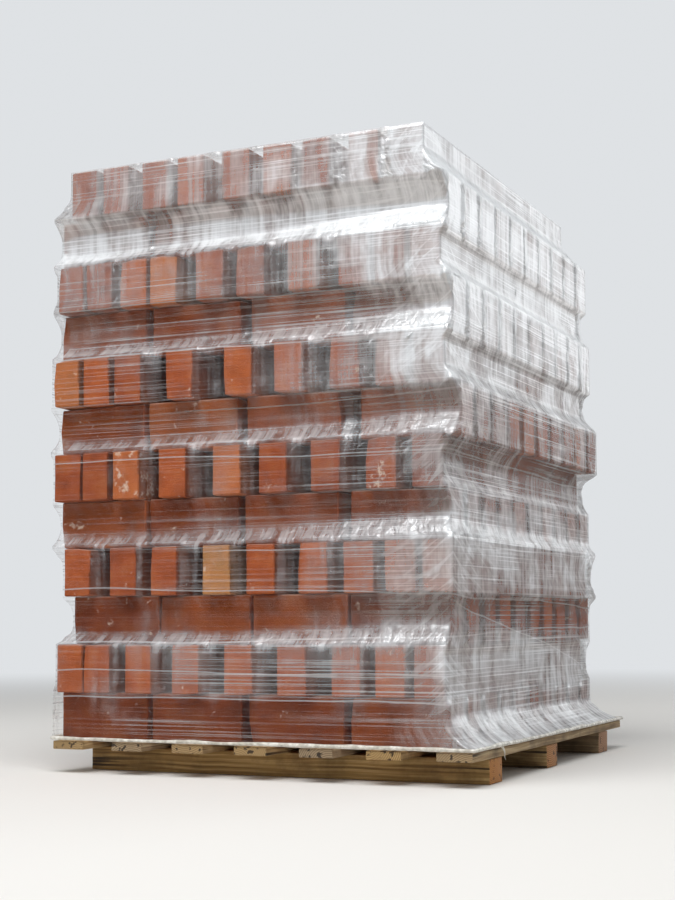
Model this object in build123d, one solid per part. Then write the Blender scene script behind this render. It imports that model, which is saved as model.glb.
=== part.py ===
from build123d import *
import os

# Brick: solid fired clay, standing on edge in every course
brick_length = 215.0
brick_height = 102.5
brick_thickness = 65.0
brick_arris = 3.0

# Odd courses lay their bricks across the pallet, so whole brick sides face the front.
# The gaps in such a course run from left to right, and those between its rows from front to back.
stretcher_gaps = {
    1: (12, 17, 14),
    3: (3, 6, 6),
    5: (10, 15, 25),
    7: (12, 22, 44),
    9: (16, 24, 18),
    11: (19, 12, 18),
}
stretcher_row_gaps = (31, 35, 30, 34, 36, 29, 33, 31, 34)

# Even courses turn their bricks front to back, so brick ends face the front with wide gaps between
header_gaps = {
    2: (2, 40, 50, 58, 57, 57, 29, 18),
    4: (50, 37, 60, 38, 54, 34, 25, 14),
    6: (6, 12, 48, 66, 43, 53, 56, 34),
    8: (11, 14, 64, 74, 52, 60, 36, 17),
    10: (5, 23, 9, 47, 30, 57, 48, 15, 10),
    12: (14, 34, 22, 41, 35, 20, 42, 33),
}
header_row_gaps = (12, 17, 13)

# Where each course ends on the right, measured out from the load's corner
right_end = {1: -3, 2: -4, 3: -2, 4: 14, 5: -1, 6: -6, 7: 22, 8: -1, 9: 6, 10: -8, 11: -2, 12: -42}

# Odd courses lie back from the front of the even ones
front_setback = 30.0

# Pallet: boards run front to back over three bearers that run across
board_count = 7
board_width = 75.0
board_thickness = 18.0
bearer_width = 75.0
bearer_height = 50.0
bearer_left_inset = 35.0
front_bearer_inset = 95.0
back_bearer_inset = 120.0
middle_bearer_shift = -22.0
deck_left_overhang = 2.0
deck_right_overhang = 53.0
deck_front_overhang = 5.0
deck_back_overhang = 82.0

# Stretch film: drawn tight over every course, spread to the deck's edge below, turned in over the top
film_thickness = 0.6
film_clearance = 0.6
film_bridge = 0.37  # share of a course's height over which the film slopes to the next course
film_rim = 72.0

courses = sorted(list(stretcher_gaps) + list(header_gaps))
deck_top = bearer_height + board_thickness


def run_length(size, gaps):
    return size * (len(gaps) + 1) + sum(gaps)


# Centres of equal pieces in a row, counted from the row's start
def run_centres(size, gaps):
    centres = [size / 2]
    for gap in gaps:
        centres.append(centres[-1] + size + gap)
    return centres


# The load is as wide as its bottom course and as deep as an odd course with its setback
load_width = run_length(brick_length, stretcher_gaps[1])
load_depth = front_setback + run_length(brick_thickness, stretcher_row_gaps)
deck_width = deck_left_overhang + load_width + deck_right_overhang
deck_depth = deck_front_overhang + load_depth + deck_back_overhang

# The origin is under the deck's middle, on the centre line of the middle bearer
front_bearer_from_deck = front_bearer_inset + bearer_width / 2
back_bearer_from_deck = deck_depth - back_bearer_inset - bearer_width / 2
middle_bearer_from_deck = (front_bearer_from_deck + back_bearer_from_deck) / 2 + middle_bearer_shift
deck_left = -deck_width / 2
deck_right = deck_width / 2
deck_front = -middle_bearer_from_deck
deck_back = deck_front + deck_depth
load_right = deck_right - deck_right_overhang
load_front = deck_front + deck_front_overhang


def course_floor(course):
    return deck_top + (course - 1) * brick_height


# Sizes and gaps of one course as (across size, across gaps, depth size, depth gaps, front edge)
def course_plan(course):
    if course in stretcher_gaps:
        rows = (brick_thickness, stretcher_row_gaps, load_front + front_setback)
        return (brick_length, stretcher_gaps[course], *rows)
    return (brick_thickness, header_gaps[course], brick_length, header_row_gaps, load_front)


# Outline of one course in plan as (left, right, front, back)
def course_outline(course):
    across, across_gaps, deep, deep_gaps, front = course_plan(course)
    right = load_right + right_end[course]
    left = right - run_length(across, across_gaps)
    return (left, right, front, front + run_length(deep, deep_gaps))


# The clay column is cut by wires across its length, so only the four short edges are eased
def make_brick():
    side = Rectangle(brick_length, brick_height)
    side = chamfer(side.vertices(), brick_arris)
    return extrude(Plane.XZ * side, brick_thickness / 2, both=True)


def make_course(course):
    across, across_gaps, deep, deep_gaps, front = course_plan(course)
    left = course_outline(course)[0]
    middle = course_floor(course) + brick_height / 2
    turn = 0 if course in stretcher_gaps else 90
    brick = Rot(0, 0, turn) * make_brick()
    bricks = []
    for y in run_centres(deep, deep_gaps):
        for x in run_centres(across, across_gaps):
            bricks.append(Pos(left + x, front + y, middle) * brick)
    return Compound(children=bricks)


def make_deck_board(index):
    pitch = (deck_width - board_width) / (board_count - 1)
    x = deck_left + board_width / 2 + index * pitch
    board = Box(board_width, deck_depth, board_thickness)
    return Pos(x, deck_front + deck_depth / 2, bearer_height + board_thickness / 2) * board


def make_bearer(from_deck_front):
    length = deck_width - bearer_left_inset
    bearer = Box(length, bearer_width, bearer_height)
    return Pos(deck_right - length / 2, deck_front + from_deck_front, bearer_height / 2) * bearer


# The smallest outline that holds all of these outlines
def around(*outlines):
    lefts, rights, fronts, backs = zip(*outlines)
    return (min(lefts), max(rights), min(fronts), max(backs))


# Heights and outlines that the film follows: its own outline over the middle of each course,
# and the one that holds both neighbours where two courses meet
def film_profile():
    slope = film_bridge * brick_height
    deck = (deck_left, deck_right, deck_front, deck_back)
    profile = [(deck_top, around(deck, course_outline(courses[0])))]
    for course in courses:
        outline = course_outline(course)
        floor = course_floor(course)
        if course > courses[0]:
            profile.append((floor, around(outline, course_outline(course - 1))))
            profile.append((floor + slope, outline))
        if course < courses[-1]:
            profile.append((floor + brick_height - slope, outline))
    profile.append((floor + brick_height, outline))
    return profile


# Four corners of a rectangle in plan, grown on every side
def corners(outline, growth, z):
    left, right, front, back = outline
    left, right, front, back = left - growth, right + growth, front - growth, back + growth
    return [(left, front, z), (right, front, z), (right, back, z), (left, back, z)]


def flat_face(points):
    return Face(Wire.make_polygon(points, close=True))


# A solid with flat sides through the film's profile, grown sideways and lifted at its two ends
def film_block(growth, hem_lift, top_lift):
    profile = film_profile()
    rings = [corners(outline, growth, z) for z, outline in profile]
    rings[0] = corners(profile[0][1], growth, profile[0][0] + hem_lift)
    rings[-1] = corners(profile[-1][1], growth, profile[-1][0] + top_lift)
    faces = [flat_face(rings[0]), flat_face(rings[-1])]
    for below, above in zip(rings, rings[1:]):
        for here in range(4):
            there = (here + 1) % 4
            faces.append(flat_face([below[here], below[there], above[there], above[here]]))
    return Solid(Shell(faces))


def make_stretch_film():
    outer_growth = film_clearance + film_thickness
    outer = film_block(outer_growth, film_clearance, outer_growth)
    inner = film_block(film_clearance, film_clearance, film_clearance)
    left, right, front, back = course_outline(courses[-1])
    open_top = Box(right - left - 2 * film_rim, back - front - 2 * film_rim, 4 * outer_growth)
    load_top = course_floor(courses[-1]) + brick_height
    open_top = Pos((left + right) / 2, (front + back) / 2, load_top + outer_growth) * open_top
    return outer - inner - open_top


nodes = {"stretch_film": make_stretch_film()}
for course in courses:
    nodes[f"course_{course:02d}"] = make_course(course)
for index in range(board_count):
    nodes[f"deck_board_{index + 1}"] = make_deck_board(index)
nodes["bearer_front"] = make_bearer(front_bearer_from_deck)
nodes["bearer_middle"] = make_bearer(middle_bearer_from_deck)
nodes["bearer_back"] = make_bearer(back_bearer_from_deck)

os.makedirs("parts", exist_ok=True)
for name, solid in nodes.items():
    export_step(solid, f"parts/{name}.step")
print(f"deck {deck_width:.1f} x {deck_depth:.1f}, load {load_width:.1f} x {load_depth:.1f}")
print(f"load top at {course_floor(courses[-1]) + brick_height:.1f}")
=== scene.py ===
import bpy
import bmesh
import math
import random
import numpy as np
from mathutils import Matrix, Vector, noise


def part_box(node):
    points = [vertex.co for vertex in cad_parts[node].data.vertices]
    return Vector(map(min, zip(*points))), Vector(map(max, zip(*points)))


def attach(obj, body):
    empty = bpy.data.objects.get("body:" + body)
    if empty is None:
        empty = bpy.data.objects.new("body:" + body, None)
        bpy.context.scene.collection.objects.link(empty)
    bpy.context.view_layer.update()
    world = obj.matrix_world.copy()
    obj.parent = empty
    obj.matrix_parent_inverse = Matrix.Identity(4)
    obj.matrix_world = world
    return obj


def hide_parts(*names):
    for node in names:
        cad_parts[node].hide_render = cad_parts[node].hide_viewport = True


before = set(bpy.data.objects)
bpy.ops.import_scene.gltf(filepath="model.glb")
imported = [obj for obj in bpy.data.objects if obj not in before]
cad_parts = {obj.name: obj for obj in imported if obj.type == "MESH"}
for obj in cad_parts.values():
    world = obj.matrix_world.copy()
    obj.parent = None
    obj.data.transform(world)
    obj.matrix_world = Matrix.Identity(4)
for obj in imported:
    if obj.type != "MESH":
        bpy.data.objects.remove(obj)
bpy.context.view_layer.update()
courseNames = sorted(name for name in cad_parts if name.startswith("course"))
boardNames = sorted(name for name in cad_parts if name.startswith("deck_board"))
bearerNames = sorted(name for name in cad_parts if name.startswith("bearer"))
print("frame loaded, courses:", len(courseNames))


# Helpers

def linear(hexCode):
    # an sRGB hex colour as the linear one that shaders work in
    channels = [int(hexCode[i:i + 2], 16) / 255 for i in (1, 3, 5)]
    return tuple(c / 12.92 if c <= 0.04045 else ((c + 0.055) / 1.055) ** 2.4 for c in channels) + (1.0,)


def newMaterial(name):
    material = bpy.data.materials.new(name)
    material.use_nodes = True
    material.node_tree.nodes.clear()
    return material


def addNode(material, kind, values=None, stops=None):
    # values in small letters are the node's settings and the others its inputs: one that is a socket
    # is linked, anything else is set; a ramp's stops are (place, hex colour)
    node = material.node_tree.nodes.new("ShaderNode" + kind)
    for name, value in (values or {}).items():
        if str(name)[0].islower():
            setattr(node, name, value)
        elif isinstance(value, bpy.types.NodeSocket):
            material.node_tree.links.new(value, node.inputs[name])
        else:
            node.inputs[name].default_value = value
    if stops:
        while len(node.color_ramp.elements) < len(stops):
            node.color_ramp.elements.new(1.0)
        for element, (place, hexCode) in zip(node.color_ramp.elements, stops):
            element.position = place
            element.color = linear(hexCode)
    return node


def addObject(name, data):
    thing = bpy.data.objects.new(name, data)
    bpy.context.scene.collection.objects.link(thing)
    return thing


def copyOf(model):
    # a copy with a mesh of its own
    copy = model.copy()
    copy.data = model.data.copy()
    bpy.context.scene.collection.objects.link(copy)
    return copy


def deselect():
    if bpy.context.object is not None and bpy.context.object.mode != "OBJECT":
        bpy.ops.object.mode_set(mode="OBJECT")
    bpy.ops.object.select_all(action="DESELECT")


def pickEdges(mesh, wanted):
    # leaves the mesh in edit mode, with only the edges selected whose middle and run suit
    bpy.ops.object.mode_set(mode="EDIT")
    bpy.ops.mesh.select_mode(type="EDGE")
    bpy.ops.mesh.select_all(action="DESELECT")
    bpy.ops.object.mode_set(mode="OBJECT")
    for edge in mesh.edges:
        start, end = (mesh.vertices[i].co for i in edge.vertices)
        edge.select = wanted((start + end) / 2, end - start)
    bpy.ops.object.mode_set(mode="EDIT")


def joinAll(pieces, name):
    deselect()
    for piece in pieces:
        piece.select_set(True)
    bpy.context.view_layer.objects.active = pieces[0]
    bpy.ops.object.join()
    joined = bpy.context.object
    joined.name = name
    bpy.ops.object.transform_apply(location=True, rotation=True, scale=True)
    return joined


def dress(piece, material, slotName, *nodes):
    piece.data.materials.clear()
    piece.data.materials.append(material)
    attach(piece, "root")
    if nodes:
        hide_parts(*nodes)


def ripple(x, y, xScale, yScale, seed):
    # smooth noise drawn out along one of its directions, about -1 to 1
    return noise.noise(Vector((x / xScale, y / yScale, seed)))


# Camera: the eye that a fit to the course lines of the photograph gives, drawn nearer by a longer lens

camera = {
    "eye": (1.5161, -3.2650, 0.3213),
    "yaw": 23.89,
    "pitch": 3.3,
    "roll": -0.30,
    "lens": 62.0,
    "sensor": 36.0,
    "shiftX": -0.047,
    "shiftY": 0.09,
}


def makeCamera():
    data = bpy.data.cameras.new("camera")
    eye = addObject("camera", data)
    data.lens = camera["lens"]
    data.sensor_width = camera["sensor"]
    data.shift_x = camera["shiftX"]
    data.shift_y = camera["shiftY"]
    eye.location = camera["eye"]
    turn = Matrix.Rotation(math.radians(camera["yaw"]), 4, "Z")
    tilt = Matrix.Rotation(math.radians(90 + camera["pitch"]), 4, "X")
    lean = Matrix.Rotation(math.radians(camera["roll"]), 4, "Z")
    eye.rotation_euler = (turn @ tilt @ lean).to_euler()
    bpy.context.scene.camera = eye


makeCamera()
print("camera placed")


# Bricks

brickLook = {
    "arris": 0.0024,          # width of the worn edge
    "wear": 0.0011,           # how far the edges wander
    "chip": 0.0085,           # depth of a knocked corner
    "chipReach": 0.02,        # and how far round it the clay is worn
    "variants": 9,
    "smoothAngle": 25,
    "turn": 0.22,             # degrees that a brick sits out of line
    "slip": 0.0007,
    "firedSpread": 0.93,      # how much the firing differs: 0 is hottest, 1 is underfired
    "limeSpread": 0.3,
    "palest": ("course_04", 12),                        # the one underfired brick of the front
    "paleCourse": "course_02",                          # the course from a cooler part of the kiln
    "paleRange": (0.5, 0.45),                           # least firing there, and how much it differs
    "limed": (("course_06", 8), ("course_06", 28)),     # the two with a burst of lime
    "modelSeed": 100,
    "seed": 41,
}


def outerLimits(point, size):
    # on how many of the block's pairs of faces the point lies: one on a face, two on an edge
    return sum(abs(abs(point[k]) - size[k] / 2) < 1e-6 for k in range(3))


def modelBrick(size, seed):
    # one wire-cut brick on edge at the origin, its length along X
    chance = random.Random(seed)
    deselect()
    bpy.ops.mesh.primitive_cube_add(size=1, location=(0, 0, 0))
    brick = bpy.context.object
    brick.scale = size
    bpy.ops.object.transform_apply(scale=True)
    bpy.ops.object.mode_set(mode="EDIT")
    bpy.ops.mesh.select_all(action="SELECT")
    bpy.ops.mesh.subdivide(number_cuts=1)
    bpy.ops.object.mode_set(mode="OBJECT")
    pickEdges(brick.data, lambda middle, run: outerLimits(middle, size) == 2)
    bpy.ops.mesh.bevel(offset=brickLook["arris"], segments=1, affect="EDGES")
    bpy.ops.mesh.select_mode(type="VERT")
    bpy.ops.object.mode_set(mode="OBJECT")
    chips = [Vector([chance.choice((-0.5, 0.5)) * size[k] for k in range(3)]) for _ in range(2)]
    chips.append(Vector((chance.uniform(-0.4, 0.4) * size[0], size[1] / 2, size[2] / 2)))
    for vertex in brick.data.vertices:
        # edges wander inwards, and near a knocked corner the clay is gone
        limits = sum(abs(vertex.co[k]) > size[k] / 2 - brickLook["arris"] * 1.2 for k in range(3))
        inward = -vertex.co.normalized()
        if limits >= 2:
            vertex.co += inward * chance.uniform(0, brickLook["wear"])
        for chip in chips:
            near = max(0.0, 1 - (vertex.co - chip).length / brickLook["chipReach"])
            vertex.co += inward * near * brickLook["chip"] * chance.uniform(0.2, 1.0)
    brick.data.shade_smooth()
    bpy.ops.object.shade_smooth_by_angle(angle=math.radians(brickLook["smoothAngle"]))
    return brick


def brickPlaces(node):
    # centre and outer size of each brick of a course
    shape = bmesh.new()
    shape.from_mesh(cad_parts[node].data)
    bmesh.ops.remove_doubles(shape, verts=shape.verts, dist=1e-5)
    left = set(shape.verts)
    places = []
    while left:
        todo = [left.pop()]
        found = []
        while todo:
            vertex = todo.pop()
            found.append(vertex.co.copy())
            for edge in vertex.link_edges:
                other = edge.other_vert(vertex)
                if other in left:
                    left.remove(other)
                    todo.append(other)
        low = Vector([min(p[k] for p in found) for k in range(3)])
        high = Vector([max(p[k] for p in found) for k in range(3)])
        places.append(((low + high) / 2, high - low))
    shape.free()
    return sorted(places, key=lambda place: tuple(place[0]))


def storeClay(brick, tone, chance):
    # where in the clay this brick was cut, how hard it was fired, and how much lime is in it
    mesh = brick.data
    offset = Vector((chance.uniform(0, 9), chance.uniform(0, 9), chance.uniform(0, 9)))
    clay = mesh.attributes.new("clay", "FLOAT_VECTOR", "POINT")
    clay.data.foreach_set("vector", [c for v in mesh.vertices for c in v.co + offset])
    stored = mesh.attributes.new("tone", "FLOAT_COLOR", "POINT")
    stored.data.foreach_set("color", tone * len(mesh.vertices))
    # which faces are bed faces, for the painted shade that the clay puts on them
    bed = [float(abs(face.normal.y) > 0.7) for face in mesh.polygons]
    mesh.attributes.new("bed", "FLOAT", "FACE").data.foreach_set("value", bed)


def stackCourse(node, models, chance):
    bricks = []
    for i, (centre, extent) in enumerate(brickPlaces(node)):
        brick = copyOf(chance.choice(models))
        fired = 1.0 if (node, i) == brickLook["palest"] else brickLook["firedSpread"] * chance.random()
        if node == brickLook["paleCourse"]:
            least, spread = brickLook["paleRange"]
            fired = least + spread * fired
        lime = 1.0 if (node, i) in brickLook["limed"] else brickLook["limeSpread"] * chance.random()
        storeClay(brick, (fired, chance.random(), lime, 1.0), chance)
        flips = [chance.choice((0, 180)) for _ in range(3)]
        overEnd = Matrix.Rotation(math.radians(flips[0]), 4, "X")
        overSide = Matrix.Rotation(math.radians(flips[1]), 4, "Y")
        turn = chance.uniform(-1, 1) * brickLook["turn"] + (0 if extent.x > extent.y else 90) + flips[2]
        slip = Vector((chance.uniform(-1, 1), chance.uniform(-1, 1), 0)) * brickLook["slip"]
        turned = Matrix.Rotation(math.radians(turn), 4, "Z")
        brick.data.transform(Matrix.Translation(centre + slip) @ turned @ (overEnd @ overSide))
        bricks.append(brick)
    return joinAll(bricks, "bricks" + node[-2:])


def makeClay():
    # Wire-cut fired clay: matt, orange-red, darker where the kiln was hotter, with pale specks of lime; the
    # bed faces carry painted shade
    clay = newMaterial("firedClay")
    place = addNode(clay, "Attribute", {"attribute_name": "clay"}).outputs["Vector"]
    tone = addNode(clay, "Attribute", {"attribute_name": "tone"})
    parts = addNode(clay, "SeparateColor", {"Color": tone.outputs["Color"]})
    fired = addNode(clay, "ValToRGB", {"Fac": parts.outputs["Red"]}, [
        (0.0, "#7C381B"), (0.2, "#964720"), (0.45, "#AC5526"), (0.7, "#BD632E"),
        (0.9, "#CB7640"), (1.0, "#CFA066")])
    cloud = addNode(clay, "TexNoise", {"Vector": place, "Scale": 16.0, "Detail": 5.0, "Roughness": 0.6})
    flash = addNode(clay, "ValToRGB", {"Fac": cloud.outputs["Fac"]}, [
        (0.3, "#6C2F18"), (0.5, "#B0572A"), (0.72, "#D08048")])
    body = addNode(clay, "Mix", {
        "data_type": "RGBA", "Factor": 0.42, "A": fired.outputs["Color"], "B": flash.outputs["Color"]})
    # painted shade: the bed faces, which show on the recessed courses, are drawn darker than the ends, for
    # the shade under the course above
    bed = addNode(clay, "Attribute", {"attribute_name": "bed"}).outputs["Fac"]
    bedPaintedShade = addNode(clay, "MapRange", {"Value": bed, "To Min": 1.0, "To Max": 0.66})
    recessShaded = addNode(clay, "HueSaturation", {
        "Color": body.outputs["Result"], "Value": bedPaintedShade.outputs["Result"]})
    # grit of about 2 mm
    grit = addNode(clay, "TexNoise", {"Vector": place, "Scale": 520.0, "Detail": 3.0, "Roughness": 0.7})
    gritTone = addNode(clay, "ValToRGB", {"Fac": grit.outputs["Fac"]}, [
        (0.3, "#A08C82"), (0.5, "#DCD2CC"), (0.7, "#FFFFFF")])
    sanded = addNode(clay, "Mix", {
        "data_type": "RGBA", "blend_type": "MULTIPLY",
        "Factor": 0.6, "A": recessShaded.outputs["Color"], "B": gritTone.outputs["Color"]})
    lime = addNode(clay, "TexNoise", {"Vector": place, "Scale": 30.0, "Detail": 4.0, "Roughness": 0.7})
    limeShare = addNode(clay, "Math", {
        "operation": "MULTIPLY_ADD", 0: parts.outputs["Blue"], 1: 0.13, 2: lime.outputs["Fac"]})
    limeMask = addNode(clay, "MapRange", {
        "Value": limeShare.outputs[0], "From Min": 0.67, "From Max": 0.76, "To Max": 0.7})
    limed = addNode(clay, "Mix", {
        "data_type": "RGBA",
        "Factor": limeMask.outputs["Result"], "A": sanded.outputs["Result"], "B": linear("#DCC8B4")})
    # dust lies in patches on what faces up
    normal = addNode(clay, "NewGeometry").outputs["Normal"]
    up = addNode(clay, "SeparateXYZ", {"Vector": normal}).outputs["Z"]
    dusty = addNode(clay, "MapRange", {"Value": up, "From Min": 0.35, "From Max": 0.95, "To Max": 0.5})
    patches = addNode(clay, "MapRange", {
        "Value": cloud.outputs["Fac"], "From Min": 0.35, "From Max": 0.62, "To Min": 0.6, "To Max": 1.5})
    dust = addNode(clay, "Math", {
        "operation": "MULTIPLY", 0: dusty.outputs["Result"], 1: patches.outputs["Result"]})
    dusted = addNode(clay, "Mix", {
        "data_type": "RGBA",
        "Factor": dust.outputs[0], "A": limed.outputs["Result"], "B": linear("#A68E82")})
    # drag lines that the cutting wire leaves, 3 mm apart, and open grain between the grit
    wire = addNode(clay, "Mapping", {"Vector": place, "Scale": (9.0, 40.0, 330.0)})
    drag = addNode(clay, "TexNoise", {"Vector": wire.outputs["Vector"], "Scale": 1.0, "Detail": 2.0})
    relief = addNode(clay, "Math", {
        "operation": "MULTIPLY_ADD", 0: drag.outputs["Fac"], 1: 0.8, 2: grit.outputs["Fac"]})
    specks = addNode(clay, "TexVoronoi", {"feature": "DISTANCE_TO_EDGE", "Vector": place, "Scale": 90.0})
    pits = addNode(clay, "MapRange", {
        "Value": specks.outputs["Distance"], "From Max": 0.05, "To Min": -0.5, "To Max": 0.0})
    height = addNode(clay, "Math", {"operation": "ADD", 0: relief.outputs[0], 1: pits.outputs["Result"]})
    bump = addNode(clay, "Bump", {"Strength": 0.55, "Distance": 0.0012, "Height": height.outputs[0]})
    shader = addNode(clay, "BsdfPrincipled", {
        "Base Color": dusted.outputs["Result"], "Roughness": 0.9, "IOR": 1.5, "Specular IOR Level": 0.2,
        "Normal": bump.outputs["Normal"]})
    addNode(clay, "OutputMaterial", {"Surface": shader.outputs["BSDF"]})
    return clay


def makeBricks():
    chance = random.Random(brickLook["seed"])
    size = brickPlaces(courseNames[0])[0][1]
    models = [modelBrick(tuple(size), brickLook["modelSeed"] + i) for i in range(brickLook["variants"])]
    clay = makeClay()
    for node in courseNames:
        dress(stackCourse(node, models, chance), clay, "brick", node)
    for model in models:
        bpy.data.objects.remove(model)


makeBricks()
print("bricks stacked")


# Pallet

timberLook = {
    "arris": 0.0016,           # width of the broken edge
    "wander": 0.0012,          # how far a sawn edge wanders over its length
    "ragged": 0.0028,          # and a sawn end
    "endReach": 0.01,          # how near the end a point counts as part of it
    "station": 0.07,           # spacing of the rings of vertices that let it wander
    "smoothAngle": 30,
    "pithAcross": 0.04,        # how far the tree's pith lies from the timber's middle, one way
    "pithAway": (0.02, 0.07),  # and the other
    "nailHead": 0.0045,        # radius
    "nailDepth": 0.0016,
    "nailEdge": (0.0011, 0.0004),    # width and height of the turned-down edge
    "nailSunk": 0.0012,
    "nailRise": 0.0003,
    "nailSpread": (0.018, 0.014),
    "seed": 17,
}


def modelTimber(node, name, chance):
    # one sawn timber in the place of its node, its edges broken and slightly uneven
    low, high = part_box(node)
    size = high - low
    grain = max(range(3), key=lambda k: size[k])
    across = [k for k in range(3) if k != grain]
    deselect()
    bpy.ops.mesh.primitive_cube_add(size=1, location=(0, 0, 0))
    timber = bpy.context.object
    timber.name = name
    timber.scale = size
    bpy.ops.object.transform_apply(scale=True)
    mesh = timber.data
    pickEdges(mesh, lambda middle, run: abs(run[grain]) > size[grain] * 0.9)
    bpy.ops.mesh.subdivide(number_cuts=int(size[grain] / timberLook["station"]))
    bpy.ops.object.mode_set(mode="OBJECT")
    pickEdges(mesh, lambda middle, run: outerLimits(middle, size) == 2)
    bpy.ops.mesh.bevel(offset=timberLook["arris"], segments=2, affect="EDGES")
    bpy.ops.mesh.select_mode(type="VERT")
    bpy.ops.object.mode_set(mode="OBJECT")
    shift = chance.uniform(0, 50)
    pithAcross = timberLook["pithAcross"]
    pith = (chance.uniform(-pithAcross, pithAcross),
            chance.choice((-1, 1)) * chance.uniform(*timberLook["pithAway"]))
    grainPlaces = []
    ringPlaces = []
    fromEnds = []
    for vertex in mesh.vertices:
        place = vertex.co.copy()
        for k in across:
            sway = ripple(place[grain], place[k], 0.17, 0.11, shift + k)
            vertex.co[k] -= math.copysign(abs(sway) * timberLook["wander"], place[k])
        ragged = ripple(place[across[0]], place[across[1]], 0.011, 0.011, shift)
        if abs(place[grain]) > size[grain] / 2 - timberLook["endReach"]:
            vertex.co[grain] -= math.copysign(abs(ragged) * timberLook["ragged"], place[grain])
        grainPlaces += [place[grain] + shift, place[across[0]] + shift * 0.7, place[across[1]] + shift * 1.3]
        ringPlaces += [place[grain] * 0.02, place[across[0]] - pith[0], place[across[1]] - pith[1]]
        fromEnds.append(size[grain] / 2 - abs(place[grain]))
    mesh.attributes.new("grain", "FLOAT_VECTOR", "POINT").data.foreach_set("vector", grainPlaces)
    mesh.attributes.new("rings", "FLOAT_VECTOR", "POINT").data.foreach_set("vector", ringPlaces)
    mesh.attributes.new("fromEnd", "FLOAT", "POINT").data.foreach_set("value", fromEnds)
    weather = [chance.random()] * len(mesh.vertices)
    mesh.attributes.new("weather", "FLOAT", "POINT").data.foreach_set("value", weather)
    mesh.shade_smooth()
    bpy.ops.object.shade_smooth_by_angle(angle=math.radians(timberLook["smoothAngle"]))
    mesh.transform(Matrix.Translation((low + high) / 2))
    return timber


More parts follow.
